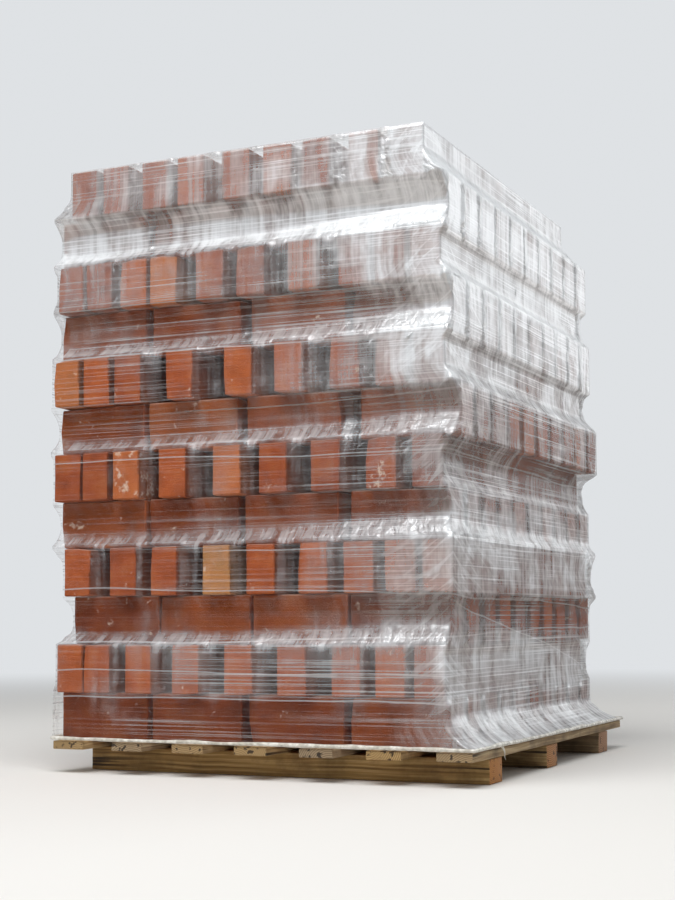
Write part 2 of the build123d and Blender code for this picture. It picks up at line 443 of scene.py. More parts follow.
def makeWood(name, colours, endAxis):
    # Rough-sawn softwood, weathered outdoors: fine drawn-out grain, saw marks, knots, damp stains, split ends
    wood = newMaterial(name)
    place = addNode(wood, "Attribute", {"attribute_name": "grain"}).outputs["Vector"]
    warp = addNode(wood, "TexNoise", {"Vector": place, "Scale": 5.0, "Detail": 2.0})
    bent = addNode(wood, "Mix", {
        "data_type": "VECTOR", "Factor": 0.012, "A": place, "B": warp.outputs["Color"]})
    # growth rings cut lengthways, about 5 mm apart
    drawn = addNode(wood, "Mapping", {"Vector": bent.outputs["Result"], "Scale": (3.0, 190.0, 190.0)})
    rings = addNode(wood, "TexNoise", {
        "Vector": drawn.outputs["Vector"], "Scale": 1.0, "Detail": 4.0, "Roughness": 0.55})
    face = addNode(wood, "ValToRGB", {"Fac": rings.outputs["Fac"]}, [
        (0.32, colours["dark"]), (0.5, colours["middle"]), (0.66, colours["pale"])])
    stains = addNode(wood, "TexNoise", {"Vector": place, "Scale": 9.0, "Detail": 6.0, "Roughness": 0.65})
    stainMask = addNode(wood, "MapRange", {
        "Value": stains.outputs["Fac"], "From Min": 0.47, "From Max": 0.68, "To Max": 0.7})
    stained = addNode(wood, "Mix", {
        "data_type": "RGBA",
        "Factor": stainMask.outputs["Result"], "A": face.outputs["Color"], "B": linear(colours["stain"])})
    # a knot about every 200 mm
    knotPlace = addNode(wood, "Mapping", {"Vector": place, "Scale": (5.0, 13.0, 13.0)})
    knots = addNode(wood, "TexVoronoi", {"Vector": knotPlace.outputs["Vector"], "Scale": 1.0})
    knotMask = addNode(wood, "MapRange", {
        "Value": knots.outputs["Distance"], "From Min": 0.07, "From Max": 0.17,
        "To Min": 0.85, "To Max": 0.0})
    knotted = addNode(wood, "Mix", {
        "data_type": "RGBA",
        "Factor": knotMask.outputs["Result"], "A": stained.outputs["Result"], "B": linear(colours["knot"])})
    # the sawn ends show the rings as arcs, and drink more damp
    normal = addNode(wood, "NewGeometry").outputs["Normal"]
    along = addNode(wood, "SeparateXYZ", {"Vector": normal}).outputs[endAxis]
    endFacing = addNode(wood, "Math", {"operation": "ABSOLUTE", 0: along})
    endMask = addNode(wood, "MapRange", {"Value": endFacing.outputs[0], "From Min": 0.6, "From Max": 0.8})
    pith = addNode(wood, "Attribute", {"attribute_name": "rings"}).outputs["Vector"]
    arcs = addNode(wood, "TexWave", {
        "wave_type": "RINGS", "rings_direction": "X",
        "Vector": pith, "Scale": 75.0, "Distortion": 1.5, "Detail": 2.0, "Detail Scale": 1.5})
    sawnEnd = addNode(wood, "ValToRGB", {"Fac": arcs.outputs["Fac"]}, [
        (0.2, colours["endDark"]), (0.7, colours["endPale"])])
    ended = addNode(wood, "Mix", {
        "data_type": "RGBA",
        "Factor": endMask.outputs["Result"], "A": knotted.outputs["Result"], "B": sawnEnd.outputs["Color"]})
    # splits run in from the ends for about 120 mm, drawn near black as painted shade inside the cracks
    splitPlace = addNode(wood, "Mapping", {"Vector": place, "Scale": (2.0, 95.0, 95.0)})
    splitNoise = addNode(wood, "TexNoise", {
        "Vector": splitPlace.outputs["Vector"], "Scale": 1.0, "Detail": 1.0})
    split = addNode(wood, "MapRange", {
        "Value": splitNoise.outputs["Fac"], "From Min": 0.63, "From Max": 0.66})
    fromEnd = addNode(wood, "Attribute", {"attribute_name": "fromEnd"}).outputs["Fac"]
    nearEnd = addNode(wood, "MapRange", {
        "Value": fromEnd, "From Min": 0.02, "From Max": 0.14, "To Min": 0.9, "To Max": 0.0})
    splitMask = addNode(wood, "Math", {
        "operation": "MULTIPLY", 0: split.outputs["Result"], 1: nearEnd.outputs["Result"]})
    opened = addNode(wood, "Mix", {
        "data_type": "RGBA",
        "Factor": splitMask.outputs[0], "A": ended.outputs["Result"], "B": linear("#2A1D12")})
    weather = addNode(wood, "Attribute", {"attribute_name": "weather"}).outputs["Fac"]
    shade = addNode(wood, "MapRange", {"Value": weather, "To Min": 0.8, "To Max": 1.1})
    greyed = addNode(wood, "MapRange", {"Value": weather, "To Min": 0.75, "To Max": 1.05})
    weathered = addNode(wood, "HueSaturation", {
        "Color": opened.outputs["Result"], "Value": shade.outputs["Result"],
        "Saturation": greyed.outputs["Result"]})
    # saw marks across the grain, 4 mm apart
    saw = addNode(wood, "Mapping", {"Vector": place, "Scale": (260.0, 12.0, 12.0)})
    marks = addNode(wood, "TexNoise", {"Vector": saw.outputs["Vector"], "Scale": 1.0, "Detail": 1.0})
    sawn = addNode(wood, "Math", {
        "operation": "MULTIPLY_ADD", 0: marks.outputs["Fac"], 1: 0.5, 2: rings.outputs["Fac"]})
    height = addNode(wood, "Math", {"operation": "SUBTRACT", 0: sawn.outputs[0], 1: splitMask.outputs[0]})
    bump = addNode(wood, "Bump", {"Strength": 0.6, "Distance": 0.0014, "Height": height.outputs[0]})
    shader = addNode(wood, "BsdfPrincipled", {
        "Base Color": weathered.outputs["Color"], "Roughness": 0.84, "Normal": bump.outputs["Normal"]})
    addNode(wood, "OutputMaterial", {"Surface": shader.outputs["BSDF"]})
    return wood


def makeSteel():
    # Bright wire nails gone dull: grey heads with brown rust in spots of 2 mm
    steel = newMaterial("rustedNail")
    place = addNode(steel, "TexCoord").outputs["Object"]
    rust = addNode(steel, "TexNoise", {"Vector": place, "Scale": 480.0, "Detail": 3.0})
    colour = addNode(steel, "ValToRGB", {"Fac": rust.outputs["Fac"]}, [
        (0.35, "#4F3A2C"), (0.6, "#86807A")])
    dull = addNode(steel, "MapRange", {
        "Value": rust.outputs["Fac"], "From Min": 0.35, "From Max": 0.65, "To Min": 0.8, "To Max": 0.42})
    shader = addNode(steel, "BsdfPrincipled", {
        "Base Color": colour.outputs["Color"], "Metallic": 0.8, "Roughness": dull.outputs["Result"]})
    addNode(steel, "OutputMaterial", {"Surface": shader.outputs["BSDF"]})
    return steel


def modelNail():
    # the head of a wire nail, flat with a turned-down edge
    deselect()
    bpy.ops.mesh.primitive_cylinder_add(
        vertices=12, radius=timberLook["nailHead"], depth=timberLook["nailDepth"], location=(0, 0, 0))
    nail = bpy.context.object
    bpy.ops.object.mode_set(mode="EDIT")
    bpy.ops.mesh.select_all(action="DESELECT")
    bpy.ops.mesh.select_mode(type="FACE")
    bpy.ops.object.mode_set(mode="OBJECT")
    for face in nail.data.polygons:
        face.select = face.normal.z > 0.9
    bpy.ops.object.mode_set(mode="EDIT")
    width, height = timberLook["nailEdge"]
    bpy.ops.mesh.inset(thickness=width, depth=height)
    bpy.ops.mesh.select_mode(type="VERT")
    bpy.ops.object.mode_set(mode="OBJECT")
    nail.data.transform(Matrix.Translation((0, 0, -timberLook["nailSunk"])))
    return nail


def makeNails():
    # two nails where each board crosses a bearer
    model = modelNail()
    nails = []
    for board in boardNames:
        boardLow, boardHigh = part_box(board)
        for bearer in bearerNames:
            bearerLow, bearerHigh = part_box(bearer)
            for side in (-1, 1):
                x = (boardLow.x + boardHigh.x) / 2 + side * timberLook["nailSpread"][0]
                y = (bearerLow.y + bearerHigh.y) / 2 - side * timberLook["nailSpread"][1]
                nail = copyOf(model)
                nail.data.transform(Matrix.Translation((x, y, boardHigh.z + timberLook["nailRise"])))
                nails.append(nail)
    bpy.data.objects.remove(model)
    return joinAll(nails, "nails")


def makePallet():
    chance = random.Random(timberLook["seed"])
    boardWood = makeWood("sawnBoards", {
        "pale": "#CDB386", "middle": "#AC8D5E", "dark": "#7F6440", "stain": "#5A4833", "knot": "#5E3C20",
        "endPale": "#AC8F62", "endDark": "#886C45"}, "Y")
    bearerWood = makeWood("sawnBearers", {
        "pale": "#C4A46B", "middle": "#A5824C", "dark": "#785A31", "stain": "#574127", "knot": "#5A381C",
        "endPale": "#C08647", "endDark": "#8C5627"}, "X")
    for node in boardNames:
        dress(modelTimber(node, "board" + node[-1], chance), boardWood, "deck_wood", node)
    for node in bearerNames:
        dress(modelTimber(node, "timber" + node[7:].capitalize(), chance), bearerWood, "bearer_wood", node)
    dress(makeNails(), makeSteel(), "deck_wood")


makePallet()
print("pallet nailed")


# Stretch film

filmLook = {
    "step": 0.0075,          # grid of the wrap's mesh
    "clearance": 0.0016,     # between film and brick
    "cornerPull": 0.0011,    # how hard the winding draws the film in at the corners, per step
    # and over the faces, from the start of each side to its end: the harder, the narrower its ledges
    "facePull": {"front": (0.00030, 0.00005), "right": (0.00006, 0.00010),
                 "back": (0.00016, 0.00016), "left": (0.00014, 0.00030)},
    "acrossTension": 8.0,    # tension along the winding over tension up and down
    "rounds": 900,
    "slackDepth": 0.008,     # how far off the bricks it hangs quite free
    "rim": 0.06,             # how far the film is turned in over the top
    "rimRows": 11,
    "rimLift": 0.0012,
    "pleat": 0.0045,         # height of the pleats of the rim
    "roll": 0.003,           # and of the roll along its slack inner edge
    "hemLift": 0.002,        # over the deck
    "topLift": 0.001,
    "streak": 0.0005,        # height of the stretch lines
    "fold": 0.006,           # height of the slanting folds by the corners
    "foldSlope": 0.55,
    "cornerFold": 0.0045,    # height of the folds across the corner lines
    "gather": 0.0016,        # height of the upright folds on the ledges
    "wave": 0.0018,          # height of the slow waves of the slack film
    "dent": 0.004,           # how far any of them may press the film in
    "reliefStart": (0.009, 0.02),     # over what distance they start from a corner line, and from the hem
    "cornerReach": 0.16,     # how far the slanting folds run in from a corner
    "fan": 0.11,             # and how far the upright ones lean with the corner
    "rope": 0.0040,          # radius of the roped hem
    "tail": (-0.352, 0.030),     # where its loose end hangs on the right side, and how far down
    "tailRadius": 0.0028,
    "tailPoints": 9,
    "tailLean": (0.002, 0.004),     # how far it stands off the rope at its start, and further at its tip
    "tailSway": 0.003,
    "lastLayer": (0.44, 1.12, 0.12),     # the film's outer end: how far round, from what height, how hazy
    # how cloudy the film is: metres round the load from the front's left corner, against the clock
    "hazeRound": ((0.0, 0.0), (0.5, 0.03), (0.7, 0.2), (0.86, 0.55), (0.93, 0.8), (1.0, 1.0),
                  (1.8, 0.9), (2.3, 0.5), (2.95, 0.4), (3.8, 0.12), (4.0, 0.03)),
    # and metres above the ground, on the front and on the other sides
    "hazeFront": ((0.07, 0.05), (0.18, 0.2), (0.30, 0.8), (0.43, 1.0), (0.51, 1.0), (0.57, 0.35),
                  (0.72, 0.6), (0.82, 1.6), (0.95, 1.3), (1.18, 1.1), (1.3, 0.7)),
    "hazeSide": ((0.07, 0.5), (0.18, 0.7), (0.24, 0.9), (0.32, 0.2), (0.42, 1.1), (0.53, 1.0),
                 (0.60, 0.65), (0.74, 0.5), (0.84, 1.1), (0.93, 1.55), (1.08, 1.45), (1.15, 1.1),
                 (1.3, 1.45)),
    # bands of the winding: height of the edge, slant, how much haze lies below and above it, and from
    # where round the load it shows
    "bands": ((0.160, 0.004, 0.0, 0.20, -1), (0.215, 0.006, 0.0, 0.0, -1), (0.270, -0.015, 0.0, -0.20, -1),
              (0.385, 0.020, 0.0, 0.03, -1), (0.506, 0.157, 0.3, 0.0, 0.9), (0.452, -0.010, 0.0, 0.0, 0.3),
              (0.655, 0.010, 0.0, 0.0, -1), (0.745, -0.016, 0.0, 0.0, 0.2), (0.880, 0.012, 0.0, 0.12, -1),
              (0.985, 0.016, 0.0, 0.22, -1), (1.090, -0.012, 0.0, 1.05, -1), (1.142, 0.010, 0.0, -0.25, -1),
              (1.185, 0.014, 0.0, -0.62, -1)),
}


def brickBoxes():
    boxes = []
    for node in courseNames:
        for centre, extent in brickPlaces(node):
            boxes.append((centre - extent / 2, centre + extent / 2))
    return boxes


def faceObstacle(boxes, along, outward, sign, alongPlaces, heights):
    # how far out the bricks stand behind each point of one side's grid, and one step beside them
    margin = filmLook["step"]
    reach = np.full(alongPlaces.shape, -10.0)
    for low, high in boxes:
        edge = sign * (high[outward] if sign > 0 else low[outward]) + filmLook["clearance"]
        inside = (alongPlaces > low[along] - margin) & (alongPlaces < high[along] + margin)
        inside &= ((heights > low.z - margin) & (heights < high.z + margin))[:, None]
        reach[inside] = np.maximum(reach[inside], edge)
    return reach


def drawTight(line, obstacle, pull, rounds):
    for _ in range(rounds):
        line[1:-1] = np.maximum(obstacle[1:-1], (line[:-2] + line[2:]) / 2 - pull)
    return line


def skirtLine(heights, reach, deckEdge):
    # where the deck hardly stands out, the film hangs straight from the second course down to the deck's edge
    hung = int(np.searchsorted(heights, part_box(courseNames[1])[0].z)) + 1
    line = np.full(heights.shape, -10.0)
    line[:hung] = np.linspace(deckEdge, reach[hung], hung)
    return line


def crease(value):
    # a sharp ridge where the noise passes through zero
    return max(0.0, 1 - 3.2 * abs(value))


def cornerLine(heights, outward, sign, deckEdge, skirt=False):
    # one coordinate of the film at a corner, from the deck's edge up over every course
    margin = filmLook["step"]
    obstacle = np.full(heights.shape, -10.0)
    for node in courseNames:
        low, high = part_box(node)
        edge = sign * (high[outward] if sign > 0 else low[outward]) + filmLook["clearance"]
        inside = (heights > low.z - margin) & (heights < high.z + margin)
        obstacle[inside] = np.maximum(obstacle[inside], edge)
    if skirt:
        obstacle = np.maximum(obstacle, skirtLine(heights, obstacle, sign * deckEdge))
    start = np.full(heights.shape, obstacle.max())
    start[0] = max(sign * deckEdge, obstacle[1])
    start[-1] = obstacle[-1]
    line = drawTight(start, obstacle, filmLook["cornerPull"], filmLook["rounds"])
    slack = np.clip((line - obstacle) / filmLook["slackDepth"], 0, 1)
    folds = [crease(ripple(z, outward + 0.3 * sign, 0.024, 1, 2.9)) for z in heights]
    return line + filmLook["cornerFold"] * slack * folds


def wrinkle(s, z, free, cornerNear):
    # relief of the film: stretch lines all over, folds where it hangs free of the bricks
    slanting = ripple(s + 0.3 * z, z, 0.45, 0.02, 3.1)
    value = filmLook["streak"] * (slanting + 0.5 * ripple(s, z, 0.3, 0.012, 7.7))
    if free > 0.02:
        slope = filmLook["foldSlope"]
        rising = crease(ripple(s + slope * z, z - slope * s, 0.3, 0.035, 5.3))
        falling = crease(ripple(s - slope * z, z + slope * s, 0.3, 0.04, 6.9))
        value += filmLook["fold"] * cornerNear * free * max(rising, falling)
        value += filmLook["gather"] * free * crease(ripple(s, z, 0.03, 0.16, 9.2))
        value += filmLook["wave"] * free * ripple(s, z, 0.11, 0.05, 1.6)
    return value


def makeFilmSide(boxes, heights, along, outward, sign, starts, ends, edge, pulls, offset, skirt=False):
    # one side of the wrap between two corner lines: its two plan coordinates, how it drapes, and how far
    # round each point lies: by the columns near the corners, upright between them
    length = abs(ends - starts).max()
    columns = int(length / filmLook["step"])
    share = np.linspace(0, 1, columns + 1)
    alongPlaces = starts[:, None] + (ends - starts)[:, None] * share[None, :]
    obstacle = faceObstacle(boxes, along, outward, sign, alongPlaces, heights)
    if skirt:
        level = skirtLine(heights, np.full(heights.shape, obstacle.max()), float(edge[0]))
        obstacle = np.maximum(obstacle, level[:, None])
    reach = np.maximum(np.repeat(edge[:, None], columns + 1, axis=1), obstacle)
    reach[0] = edge[0]
    across = filmLook["acrossTension"]
    pull = np.linspace(pulls[0], pulls[1], columns - 1)[None, :]
    for _ in range(filmLook["rounds"]):
        sideways = across * (reach[1:-1, :-2] + reach[1:-1, 2:]) + reach[:-2, 1:-1] + reach[2:, 1:-1]
        mean = sideways / (2 * across + 2) - pull
        reach[1:-1, 1:-1] = np.maximum(obstacle[1:-1, 1:-1], mean)
    slack = np.clip((reach - obstacle) / filmLook["slackDepth"], 0, 1)
    fromCorner = np.broadcast_to(np.minimum(share, 1 - share)[None, :] * length, reach.shape)
    cornerNear = np.exp(-fromCorner / filmLook["cornerReach"])
    relief = np.array([[wrinkle(s + offset, z, free, near) for s, free, near in zip(*row)]
                       for z, row in zip(heights, zip(alongPlaces, slack, cornerNear))])
    fromLine, fromHem = filmLook["reliefStart"]
    fade = np.minimum(1, fromCorner / fromLine) * np.minimum(1, (heights - heights[0]) / fromHem)[:, None]
    reach = np.maximum(np.maximum(obstacle, reach - filmLook["dent"]), reach + relief * fade)
    ledge = np.clip(-np.gradient(reach, heights, axis=0) / 0.5, -1, 1) * 0.5 + 0.5
    byColumn = np.broadcast_to(share * columns * filmLook["step"], reach.shape)
    upright = abs(alongPlaces - starts.mean())
    arc = upright + (byColumn - upright) * np.exp(-fromCorner / filmLook["fan"])
    plan = {along: alongPlaces, outward: sign * reach}
    return plan[0], plan[1], np.stack([slack, cornerNear, ledge], axis=2), arc


def turnIn(loopX, loopY, loadTop):
    # the rows of the film over the top bricks, pleated, the slack inner edge slightly rolled
    centre = ((loopX.min() + loopX.max()) / 2, (loopY.min() + loopY.max()) / 2)
    half = (loopX.max() - centre[0], loopY.max() - centre[1])
    rows = []
    for k in range(1, filmLook["rimRows"] + 1):
        share = k / filmLook["rimRows"]
        row = []
        for x, y in zip(loopX, loopY):
            corner = max(0.0, min(abs(x - centre[0]) / half[0], abs(y - centre[1]) / half[1]) * 5 - 4)
            slow, quick = ripple(x, y, 0.16, 0.16, 2.2), ripple(x, y, 0.04, 0.04, 8.2)
            edge = filmLook["rim"] * share * (1 + 0.45 * slow + 0.12 * quick + 0.7 * corner)
            pleat = filmLook["pleat"] * share * crease(ripple(x, y, 0.035, 0.035, 4.4 + share * 0.5))
            roll = 0.0
            if share > 0.7:
                roll = filmLook["roll"] * max(0.0, math.sin(math.pi * (share - 0.7) / 0.3))
            row.append((centre[0] + (x - centre[0]) * (1 - edge / half[0]),
                        centre[1] + (y - centre[1]) * (1 - edge / half[1]),
                        loadTop + filmLook["rimLift"] + pleat + roll))
        rows.append(row)
    return np.array(rows)


def cloudiness(count, heights):
    # for each row and column of the grid, how many layers' worth of haze the film has
    around = np.arange(count) * filmLook["step"]
    byPlace = np.interp(around, *zip(*filmLook["hazeRound"]))
    front = np.interp(heights, *zip(*filmLook["hazeFront"]))
    side = np.interp(heights, *zip(*filmLook["hazeSide"]))
    onSide = np.interp(around, (0.0, 0.1, 0.88, 0.98), (1.0, 0.0, 0.0, 1.0))
    haze = byPlace[None, :] * (front[:, None] + (side - front)[:, None] * onSide[None, :])
    begin, lowest, share = filmLook["lastLayer"]
    ended = (around > begin) & (around < 1.0)
    return haze + share * (heights > lowest)[:, None] * ended[None, :]


def makeFilm():
    # the wrap as one grid of rows up the load and over its rim, and columns round it
    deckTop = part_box(boardNames[0])[1].z
    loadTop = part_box(courseNames[-1])[1].z
    deckLow = Vector([min(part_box(node)[0][k] for node in boardNames) for k in range(3)])
    deckHigh = Vector([max(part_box(node)[1][k] for node in boardNames) for k in range(3)])
    rowCount = int((loadTop - deckTop) / filmLook["step"]) + 1
    heights = np.linspace(deckTop + filmLook["hemLift"], loadTop + filmLook["topLift"], rowCount)
    right = cornerLine(heights, 0, 1, deckHigh.x)
    left = cornerLine(heights, 0, -1, deckLow.x)
    back = cornerLine(heights, 1, 1, deckHigh.y)
    front = cornerLine(heights, 1, -1, deckLow.y, skirt=True)
    boxes = brickBoxes()
    # the sides follow each other against the clock, seen from above
    sides = []
    for name, along, outward, sign, starts, ends, edge in (
            ("front", 0, 1, -1, -left, right, front), ("right", 1, 0, 1, -front, back, right),
            ("back", 0, 1, 1, right, -left, back), ("left", 1, 0, -1, back, -front, left)):
        sides.append(makeFilmSide(boxes, heights, along, outward, sign, starts, ends, edge,
                                  filmLook["facePull"][name], 2.0 * len(sides), skirt=name == "front"))
    loopX, loopY, drape = (np.concatenate([side[k][:, :-1] for side in sides], axis=1) for k in range(3))
    begin = 0.0
    rounds = []
    for side in sides:
        rounds.append(side[3][:, :-1] + begin)
        begin += (side[3].shape[1] - 1) * filmLook["step"]
    rounds = np.concatenate(rounds + [np.full((len(heights), 1), begin)], axis=1)
    upright = np.stack([loopX, loopY, np.repeat(heights[:, None], loopX.shape[1], axis=1)], axis=2)
    grid = np.concatenate([upright, turnIn(loopX[-1], loopY[-1], loadTop)], axis=0)
    rows, columns = grid.shape[:2]
    faces = []
    corners = []
    for j in range(rows - 1):
        low = heights[0] + j * filmLook["step"]
        high = low + filmLook["step"]
        lowRound, highRound = (rounds[min(row, len(heights) - 1)] for row in (j, j + 1))
        for i in range(columns):
            ahead = (i + 1) % columns
            here, above = j * columns, (j + 1) * columns
            faces.append((here + i, here + ahead, above + ahead, above + i))
            corners += [lowRound[i], low, lowRound[i + 1], low, highRound[i + 1], high, highRound[i], high]
    mesh = bpy.data.meshes.new("filmWrap")
    mesh.from_pydata(grid.reshape(-1, 3).tolist(), [], faces)
    mesh.uv_layers.new(name="unrolled").data.foreach_set("uv", corners)
    colours = np.ones((rows, columns, 4))
    colours[:len(heights), :, :3] = drape
    colours[:len(heights), :, 3] = cloudiness(columns, heights)
    for k in range(filmLook["rimRows"]):
        # whitest at the fold, where the highest ledge value gives the most painted light, and clearer than
        # the sides below it
        colours[len(heights) + k] = (0.2, 0.1, 0.95 - 0.03 * k, -0.2 - 0.01 * k)
    stored = mesh.attributes.new("drape", "FLOAT_COLOR", "POINT")
    stored.data.foreach_set("color", colours.reshape(-1).tolist())
    film = addObject("filmWrap", mesh)
    mesh.shade_smooth()
    print("film grid", rows, "x", columns)
    return film, grid[0], (sides[0][0].shape[1] - 1) * filmLook["step"]


def addTube(path, radii, closed, vertices, faces):
    # a lumpy tube of eight sides
    sides = 8
    count = len(path)
    first = len(vertices)
    for i, (point, radius) in enumerate(zip(path, radii)):
        before = path[i - 1] if closed or i > 0 else path[i]
        after = path[(i + 1) % count] if closed or i < count - 1 else path[i]
        ahead = (after - before).normalized()
        outward = ahead.cross(Vector((0, 0, 1))).normalized()
        upward = outward.cross(ahead)
        for k in range(sides):
            angle = 2 * math.pi * k / sides
            lump = 1 + 0.2 * ripple(i * filmLook["step"], k, 0.05, 1.3, 5.5)
            aside = outward * math.cos(angle) + upward * math.sin(angle)
            vertices.append(point + aside * radius * lump)
    for i in range(count if closed else count - 1):
        for k in range(sides):
            here, there = first + i * sides, first + (i + 1) % count * sides
            side = (k + 1) % sides
            faces.append((here + k, there + k, there + side, here + side))


def makeRope(loop):
    # the lower edge of the film, rolled up into a rope along the edge of the deck, and its loose end
    vertices = []
    faces = []
    path = []
    radii = []
    for i, point in enumerate(loop):
        s = i * filmLook["step"]
        radius = filmLook["rope"] * (1 + 0.4 * ripple(s, 0, 0.09, 1, 3.3) + 0.12 * ripple(s, 0, 0.03, 1, 1.9))
        path.append(Vector((point[0], point[1], point[2] + 0.9 * radius)))
        radii.append(radius)
    addTube(path, radii, True, vertices, faces)
    tailPlace, drop = filmLook["tail"]
    off, lean = filmLook["tailLean"]
    edge = max(place.x for place in path)
    shares = np.linspace(0, 1, filmLook["tailPoints"])
    tail = []
    for share in shares:
        sway = filmLook["tailSway"] * math.sin(share * 5.0)
        tail.append(Vector((edge + off + lean * share + sway * 0.5, tailPlace + drop * 0.8 * share + sway,
                            path[0].z - drop * share)))
    addTube(tail, [filmLook["tailRadius"] * (1 - 0.9 * share) for share in shares], False, vertices, faces)
    mesh = bpy.data.meshes.new("filmRope")
    mesh.from_pydata(vertices, [], faces)
    rope = addObject("filmRope", mesh)
    deselect()
    rope.select_set(True)
    bpy.context.view_layer.objects.active = rope
    bpy.ops.object.mode_set(mode="EDIT")
    bpy.ops.mesh.select_all(action="SELECT")
    bpy.ops.mesh.normals_make_consistent(inside=False)
    bpy.ops.object.mode_set(mode="OBJECT")
    mesh.shade_smooth()
    return rope


def makeFilmMaterial(nearCorner):
    # Cast polyethylene film, stretched as it was wound: clear where it clings to a brick, grey and
    # mirror-like where several layers hang free, white along its creases and the edges of its bands
    film = newMaterial("stretchFilm")
    flatNoise = {"noise_dimensions": "2D"}     # quicker, and the film is flat once unrolled
    unrolled = addNode(film, "UVMap", {"uv_map": "unrolled"}).outputs["UV"]
    place = addNode(film, "SeparateXYZ", {"Vector": unrolled})
    drape = addNode(film, "Attribute", {"attribute_name": "drape"})
    parts = addNode(film, "SeparateColor", {"Color": drape.outputs["Color"]})
    free, cornerNear, ledge = (parts.outputs[name] for name in ("Red", "Green", "Blue"))
    wound = drape.outputs["Alpha"]

    # noises that are drawn out along the winding or across it: how fine round the load and up it
    noises = {}
    for name, around, up, values in (
            ("wander", 2.2, 3.0, {"Detail": 2.0}),
            ("uneven", 15.0, 10.0, {"Detail": 3.0, "Roughness": 0.65}),
            ("patches", 3.0, 8.0, {"Detail": 2.0}),
            ("lines", 2.2, 130.0, {"Detail": 3.0, "Roughness": 0.6}),
            ("threads", 0.9, 290.0, {"Detail": 1.0}),
            ("folds", 50.0, 1.9, {"Detail": 3.0, "Roughness": 0.65, "Distortion": 0.05}),
            ("fineLines", 10.0, 330.0, {"Detail": 2.0})):
        drawn = addNode(film, "Mapping", {"Vector": unrolled, "Scale": (around, up, 1.0)})
        noises[name] = addNode(film, "TexNoise", {
            **flatNoise, "Vector": drawn.outputs["Vector"], "Scale": 1.0, **values}).outputs["Fac"]
    noises["clouds"] = addNode(film, "TexNoise", {
        **flatNoise, "Vector": unrolled, "Scale": 6.0, "Detail": 4.0, "Roughness": 0.55}).outputs["Fac"]
    noises["crinkles"] = addNode(film, "TexNoise", {
        **flatNoise, "Vector": unrolled, "Scale": 55.0, "Detail": 3.0, "Distortion": 0.6}).outputs["Fac"]

    # what they give: the noise's range, and what it turns into
    shares = {}
    for name, source, low, high, atLow, atHigh in (
            ("uneven", "uneven", 0.36, 0.64, 0.68, 1.28),       # thinner and thicker, every 80 mm
            ("ruled", "patches", 0.38, 0.6, 0.25, 1.3),         # in patches it is ruled with stretch lines,
            ("gathered", "patches", 0.42, 0.62, 1.0, 0.25),     # and between them gathered into upright folds
            ("line", "lines", 0.56, 0.72, 0.0, 0.6),            # stretch lines along the winding, 8 mm apart
            ("thread", "threads", 0.58, 0.72, 0.0, 0.75),       # threads of 3 mm that run on for a metre
            ("fold", "folds", 0.36, 0.66, 0.0, 1.0),            # upright folds, 20 mm apart
            ("crumpled", "crinkles", 0.38, 0.62, 0.45, 1.6)):
        share = addNode(film, "MapRange", {
            "Value": noises[source], "From Min": low, "From Max": high, "To Min": atLow, "To Max": atHigh})
        shares[name] = share.outputs["Result"]

    layers = []
    edges = []
    for height, slant, below, above, start in filmLook["bands"]:
        level = addNode(film, "Math", {
            "operation": "MULTIPLY_ADD", 0: place.outputs["X"], 1: slant, 2: place.outputs["Y"]})
        placed = addNode(film, "Math", {
            "operation": "MULTIPLY_ADD", 0: noises["wander"], 1: 0.022, 2: level.outputs[0]})
        if below != above:
            begun = addNode(film, "MapRange", {
                "Value": place.outputs["X"], "From Min": start, "From Max": start + 0.15, "To Max": below})
            step = addNode(film, "MapRange", {
                "interpolation_type": "SMOOTHSTEP", "Value": placed.outputs[0], "From Min": height,
                "From Max": height + 0.03, "To Min": begun.outputs["Result"], "To Max": above})
            layers.append(step.outputs["Result"])
        distance = addNode(film, "Math", {"operation": "SUBTRACT", 0: placed.outputs[0], 1: height + 0.015})
        near = addNode(film, "Math", {"operation": "ABSOLUTE", 0: distance.outputs[0]})
        shown = addNode(film, "MapRange", {
            "Value": place.outputs["X"], "From Min": start, "From Max": start + 0.15, "To Max": 0.55})
        line = addNode(film, "MapRange", {
            "Value": near.outputs[0], "From Min": 0.0006, "From Max": 0.0021,
            "To Min": shown.outputs["Result"], "To Max": 0.0})
        edges.append(line.outputs["Result"])

    # layers of haze: wound on unevenly round the load, and cloudy
    clouds = addNode(film, "MapRange", {
        "clamp": False, "Value": noises["clouds"],
        "From Min": 0.3, "From Max": 0.7, "To Min": -0.2, "To Max": 0.13})
    thickness = clouds.outputs["Result"]
    for share in layers + [wound]:
        thickness = addNode(film, "Math", {"operation": "ADD", 0: thickness, 1: share}).outputs[0]
    for operation, value in (("MULTIPLY", shares["uneven"]), ("MAXIMUM", 0.0)):
        thickness = addNode(film, "Math", {"operation": operation, 0: thickness, 1: value}).outputs[0]
    clinging = addNode(film, "Math", {"operation": "MULTIPLY_ADD", 0: thickness, 1: 0.72, 2: 0.02})
    # over a gap it is clearer than on a brick, unless it is thick
    hangingShare = addNode(film, "Math", {"operation": "MULTIPLY_ADD", 0: thickness, 1: 0.42, 2: 0.18})
    hanging = addNode(film, "Math", {
        "operation": "MULTIPLY_ADD", 0: thickness, 1: hangingShare.outputs[0], 2: 0.04})
    haze = addNode(film, "Mix", {
        "data_type": "FLOAT", "Factor": free, "A": clinging.outputs[0], "B": hanging.outputs[0]})
